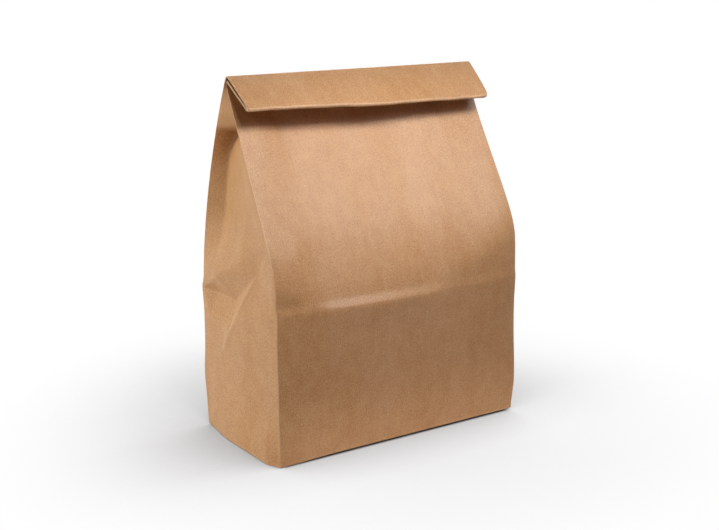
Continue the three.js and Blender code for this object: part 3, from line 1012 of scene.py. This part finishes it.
def white_paper_floor(sizes, stage):
    """A roll of matt white background paper. Seen directly it glows white all round, with a soft shadow
    painted into that glow close to what stands on it: the part of the sky that is hidden darkens it, less
    in front of the bag, and a painted cast shadow falls behind the bag, away from the front right. Right
    under the bag a painted contact shadow makes it darkest. A weak share of the lamps' own light and
    shadow is added."""
    material = bpy.data.materials.new("white_background_paper")
    tree = new_tree(material)
    place = add_node(tree, "ShaderNodeTexCoord").outputs["Object"]
    apart = add_node(tree, "ShaderNodeVectorMath", {0: place}, operation="LENGTH").outputs["Value"]
    limits = {"Value": apart, "From Min": SHADOW_REACH, "From Max": WHITE_REACH}
    far = add_node(tree, "ShaderNodeMapRange", limits, interpolation_type="SMOOTHSTEP").outputs["Result"]
    half = (sizes.panel_width / 2 - CONTACT_INSET, sizes.gusset_width / 2, 0)
    # painted shade: the floor's glow is darkened by how much of its sky is hidden, more beside and behind the
    # bag than in front
    open_sky = add_node(tree, "ShaderNodeAmbientOcclusion", {"Distance": SKY_REACH}).outputs["AO"]
    depth = add_node(tree, "ShaderNodeSeparateXYZ", {0: place}).outputs["Y"]
    limits = {"From Min": FRONT_SPAN[0] * half[1], "From Max": FRONT_SPAN[1] * half[1]}
    limits.update({"Value": depth, "To Min": FRONT_SHADE, "To Max": SIDE_SHADE})
    darkest = add_node(tree, "ShaderNodeMapRange", limits).outputs["Result"]
    limits = {"Value": open_sky, "To Min": darkest, "To Max": FLOOR_LIFT}
    shade = add_node(tree, "ShaderNodeMapRange", limits).outputs["Result"]
    # painted cast shadow: darker where the sky towards the front right is hidden
    key_side = add_node(tree, "ShaderNodeCombineXYZ", dict(enumerate(KEY_DIRECTION))).outputs[0]
    inputs = {"Distance": KEY_REACH, "Normal": key_side}
    key_sky = add_node(tree, "ShaderNodeAmbientOcclusion", inputs).outputs["AO"]
    cast = add_node(tree, "ShaderNodeMapRange", {"Value": key_sky, "To Min": CAST_SHADE}).outputs["Result"]
    shade = add_node(tree, "ShaderNodeMath", {0: shade, 1: cast}, operation="MULTIPLY").outputs[0]
    # painted contact shadow: no glow under the bag, fading in at its outline
    folded = add_node(tree, "ShaderNodeVectorMath", {0: place}, operation="ABSOLUTE").outputs["Vector"]
    inputs = {0: folded, 1: half}
    outside = add_node(tree, "ShaderNodeVectorMath", inputs, operation="SUBTRACT").outputs["Vector"]
    axes = add_node(tree, "ShaderNodeSeparateXYZ", {0: outside}).outputs
    clear = add_node(tree, "ShaderNodeMath", {0: axes["X"], 1: axes["Y"]}, operation="MAXIMUM").outputs[0]
    limits = {"From Min": -CONTACT_REACH, "From Max": CONTACT_REACH, "To Max": shade}
    shadow_painted_strength = add_node(tree, "ShaderNodeMapRange", {"Value": clear, **limits}).outputs["Result"]
    plain = add_node(tree, "ShaderNodeBsdfDiffuse", {"Color": (*stage.floor_colour, 1)}).outputs[0]
    lit = add_node(tree, "ShaderNodeBsdfDiffuse", {"Color": (*FLOOR_LIT, 1)}).outputs[0]
    # the floor glows with the painted shade, and shows a weak share of the lamps' own light and shadow
    shadow_painted_glow = add_node(tree, "ShaderNodeEmission", {"Strength": shadow_painted_strength}).outputs[0]
    near = add_node(tree, "ShaderNodeAddShader", {0: lit, 1: shadow_painted_glow}).outputs[0]
    white = add_node(tree, "ShaderNodeEmission", {"Strength": WHITE_STRENGTH}).outputs[0]
    seen = add_node(tree, "ShaderNodeMixShader", {0: far, 1: near, 2: white}).outputs[0]
    shader = add_node(tree, "ShaderNodeMixShader", {0: seen_rays(tree), 1: plain, 2: seen}).outputs[0]
    add_node(tree, "ShaderNodeOutputMaterial", {"Surface": shader})
    return material


def studio_world(stage):
    """White where it is seen, and a dim even light on everything else."""
    world = bpy.data.worlds.new("studio")
    tree = new_tree(world)
    inputs = {"Color": WHITE, "Strength": stage.ambient}
    dim = add_node(tree, "ShaderNodeBackground", inputs).outputs[0]
    inputs = {"Color": WHITE, "Strength": WHITE_STRENGTH}
    white = add_node(tree, "ShaderNodeBackground", inputs).outputs[0]
    shader = add_node(tree, "ShaderNodeMixShader", {0: seen_rays(tree), 1: dim, 2: white}).outputs[0]
    add_node(tree, "ShaderNodeOutputWorld", {"Surface": shader})
    return world


# The studio

FLOOR_DROP = 0.2 * MM  # keeps the floor clear of the base, which lies at 0
FLOOR_HALF = 6.0  # metres from its middle to its edges
CAMERA_PLACE = (-530 * MM, -767 * MM, 349 * MM)
CAMERA_AZIMUTH = math.radians(-34.49)
CAMERA_LOOK_DOWN = math.radians(13.48)
CAMERA_LENS = 61.3  # millimetres


class Lamp(NamedTuple):
    """A soft light: its name, place, aim, width and height in millimetres, the angle in degrees that its
    grid lets through, and the setting that holds its power."""
    name: str
    place: tuple
    aim: tuple
    width: float
    height: float
    spread: float
    power: str


GLOSS_CARD = "gloss_card"  # it only shows as a reflection in the paper
FILL_LIGHT = "front_fill"  # it has a colour of its own
LAMPS = (
    Lamp("key_strip", (10, -262, 482), (10, -28, 205), 430, 95, 68, "key_power"),
    Lamp(FILL_LIGHT, (-80, -690, 640), (0, -55, 100), 300, 250, 180, "fill_power"),
    Lamp("foot_light", (20, -420, 110), (20, -55, 8), 260, 30, 15, "foot_power"),
    Lamp(GLOSS_CARD, (360, -525, 690), (0, -28, 200), 260, 260, 180, "gloss_power"),
    Lamp("left_light", (-900, 60, 250), (0, -20, 150), 500, 300, 180, "left_power"),
    Lamp("left_front_light", (-800, -700, 700), (0, -20, 150), 400, 400, 180, "left_front_power"),
    Lamp("left_back_light", (-700, 500, 500), (0, -20, 150), 400, 400, 180, "left_back_power"),
    Lamp("right_back_light", (700, 700, 700), (0, 0, 130), 600, 600, 180, "right_back_power"),
)


def link_object(name, data):
    """Puts a new object into the scene."""
    made = bpy.data.objects.new(name, data)
    bpy.context.scene.collection.objects.link(made)
    return made


def make_floor(sizes, stage):
    """A wide level floor just under the base."""
    mesh = bpy.data.meshes.new("floor")
    side = FLOOR_HALF
    corners = [(x, y, -FLOOR_DROP) for x, y in ((-side, -side), (side, -side), (side, side), (-side, side))]
    mesh.from_pydata(corners, [], [(0, 1, 2, 3)])
    mesh.materials.append(white_paper_floor(sizes, stage))
    floor = link_object("floor", mesh)


def make_lamp(lamp, stage):
    """A rectangular area light that looks at its aim, with its width level."""
    data = bpy.data.lights.new(lamp.name, "AREA")
    data.shape = "RECTANGLE"
    data.size = lamp.width * MM
    data.size_y = lamp.height * MM
    data.spread = math.radians(lamp.spread)
    data.energy = getattr(stage, lamp.power)
    made = link_object(lamp.name, data)
    made.visible_diffuse = lamp.name != GLOSS_CARD
    if lamp.name == FILL_LIGHT:
        data.color = stage.fill_colour
    made.location = Vector(lamp.place) * MM
    made.rotation_euler = (Vector(lamp.aim) - Vector(lamp.place)).to_track_quat("-Z", "Y").to_euler()


def make_camera():
    """A camera at the photograph's place, level across and looking a little down."""
    data = bpy.data.cameras.new("camera")
    data.lens = CAMERA_LENS
    made = link_object("camera", data)
    tilt = Matrix.Rotation(math.pi / 2 - CAMERA_LOOK_DOWN, 4, "X")
    turn = Matrix.Rotation(CAMERA_AZIMUTH, 4, "Z")
    made.matrix_world = Matrix.Translation(CAMERA_PLACE) @ turn @ tilt
    bpy.context.scene.camera = made


# The add-on

def length_setting(name, description, default):
    """A length that a user can change."""
    return FloatProperty(name=name, description=description, default=default, unit="LENGTH")


def power_setting(name, description, default):
    """A lamp's power that a user can change."""
    return FloatProperty(name=name, description=description, default=default, min=0, unit="POWER")


def colour_setting(name, description, code):
    """A colour that a user can change, from its sRGB hex value."""
    linear = hex_to_linear(code)
    return FloatVectorProperty(
        name=name, description=description, default=linear, min=0, max=1, subtype="COLOR")


class PaperBagSizes(bpy.types.PropertyGroup):
    """Sizes of the bag"""
    panel_width: length_setting("Panel width", "Width of the front and back panels", FRAME_WIDTH)
    gusset_width: length_setting(
        "Side width", "Width of the sides, and so the depth of the base", FRAME_DEPTH)
    height: length_setting("Height", "Height of the closed bag at its ridge", FRAME_HEIGHT)
    roll_width: length_setting(
        "Roll width", "Outer turn of the roll, from the ridge to its front edge", 34 * MM)
    mouth_turn: length_setting(
        "Mouth turn", "Inner turn of the roll, from its front edge to the cut mouth", 33 * MM)
    roll_droop: FloatProperty(
        name="Roll droop", description="Slope of the rolled strip below level",
        default=math.radians(39.8), subtype="ANGLE", unit="ROTATION")
    ridge_setback: length_setting(
        "Ridge setback", "How far the ridge lies behind the middle of the base", 11.7 * MM)
    edge_radius: length_setting("Edge radius", "Rounding of the upright folded edges", 0.8 * MM)
    base_edge: length_setting("Base edge", "Rounding where the panels turn under", BASE_EDGE)


class PaperBagLook(bpy.types.PropertyGroup):
    """Colours of the paper"""
    paper_light: colour_setting("Paper, light", "Colour of the paler clouds", "cb9c69")
    paper_dark: colour_setting("Paper, dark", "Colour of the darker clouds", "c4915d")
    fibre_light: colour_setting("Fibre, light", "Colour of pale fibres", "e2b88f")
    fibre_dark: colour_setting("Fibre, dark", "Colour of dark fibres", "94643b")
    bark: colour_setting("Bark", "Colour of the specks of bark", "6b4727")
    # the colour of pale folds stands for rubbed paper and, along the upright folded edges and the roll's
    # front edge, a painted highlight
    worn_fold: colour_setting("Worn fold", "Colour of rubbed folds", "e3c19c")
    roughness: FloatProperty(
        name="Roughness", description="Dullness of the paper",
        default=0.42, min=0.2, max=1, subtype="FACTOR")


class PaperBagStage(bpy.types.PropertyGroup):
    """Lights and floor"""
    key_power: power_setting("Key strip", "Strip light in front of the roll and above it", 0.33)
    fill_power: power_setting("Front fill", "Pale magenta light that fills the front", 0.6)
    foot_power: power_setting("Foot light", "Low light along the foot of the front", 0.009)
    fill_colour: colour_setting("Fill", "Colour of the front fill", "ffdaff")
    gloss_power: power_setting("Gloss card", "Card that the front panel reflects dully", 4.4)
    left_power: power_setting("Left light", "Low soft light on the left side", 1.7)
    left_front_power: power_setting("Left front light", "Soft light from in front on the left", 0.2)
    left_back_power: power_setting("Left back light", "Soft light from behind on the left", 3.9)
    right_back_power: power_setting("Right back light", "Weak light from behind on the right", 2.5)
    ambient: FloatProperty(
        name="Ambient", description="Strength of the even light from all round",
        default=0.01, min=0)
    floor_colour: colour_setting("Floor", "Colour of the floor", "f6f6f6")


class PAPERBAG_OT_bag(bpy.types.Operator):
    """Makes the folded paper bag in place of the plain solid"""
    bl_idname = "paperbag.bag"
    bl_label = "Paper bag"

    def execute(self, context):
        sizes = context.scene.paper_bag_sizes
        mesh = bag_mesh(sizes)
        mesh.materials.append(kraft_paper(sizes, context.scene.paper_bag_look))
        bag = link_object(PIECE, mesh)
        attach(bag, "root")
        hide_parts(CAD_NODE)
        return {"FINISHED"}


class PAPERBAG_OT_stage(bpy.types.Operator):
    """Makes the white floor, the lights and the camera"""
    bl_idname = "paperbag.stage"
    bl_label = "Stage"

    def execute(self, context):
        stage = context.scene.paper_bag_stage
        make_floor(context.scene.paper_bag_sizes, stage)
        for lamp in LAMPS:
            make_lamp(lamp, stage)
        make_camera()
        context.scene.world = studio_world(stage)
        context.scene.view_settings.view_transform = "Standard"
        return {"FINISHED"}


class PAPERBAG_PT_sidebar(bpy.types.Panel):
    """Sizes, colours and lights, and the buttons that make the bag and its stage"""
    bl_idname = "PAPERBAG_PT_sidebar"
    bl_label = "Paper bag"
    bl_space_type = "VIEW_3D"
    bl_region_type = "UI"
    bl_category = "Paper bag"

    def draw(self, context):
        scene = context.scene
        for group in (scene.paper_bag_sizes, scene.paper_bag_look, scene.paper_bag_stage):
            box = self.layout.box()
            for name in group.__annotations__:
                box.prop(group, name)
        self.layout.operator(PAPERBAG_OT_bag.bl_idname)
        self.layout.operator(PAPERBAG_OT_stage.bl_idname)


CLASSES = (
    PaperBagSizes,
    PaperBagLook,
    PaperBagStage,
    PAPERBAG_OT_bag,
    PAPERBAG_OT_stage,
    PAPERBAG_PT_sidebar,
)


def register():
    for made in CLASSES:
        bpy.utils.register_class(made)
    bpy.types.Scene.paper_bag_sizes = PointerProperty(type=PaperBagSizes)
    bpy.types.Scene.paper_bag_look = PointerProperty(type=PaperBagLook)
    bpy.types.Scene.paper_bag_stage = PointerProperty(type=PaperBagStage)


def unregister():
    del bpy.types.Scene.paper_bag_stage
    del bpy.types.Scene.paper_bag_look
    del bpy.types.Scene.paper_bag_sizes
    for made in reversed(CLASSES):
        bpy.utils.unregister_class(made)


def main():
    register()
    bpy.ops.paperbag.bag()
    bpy.ops.paperbag.stage()


if __name__ == "__main__":
    main()
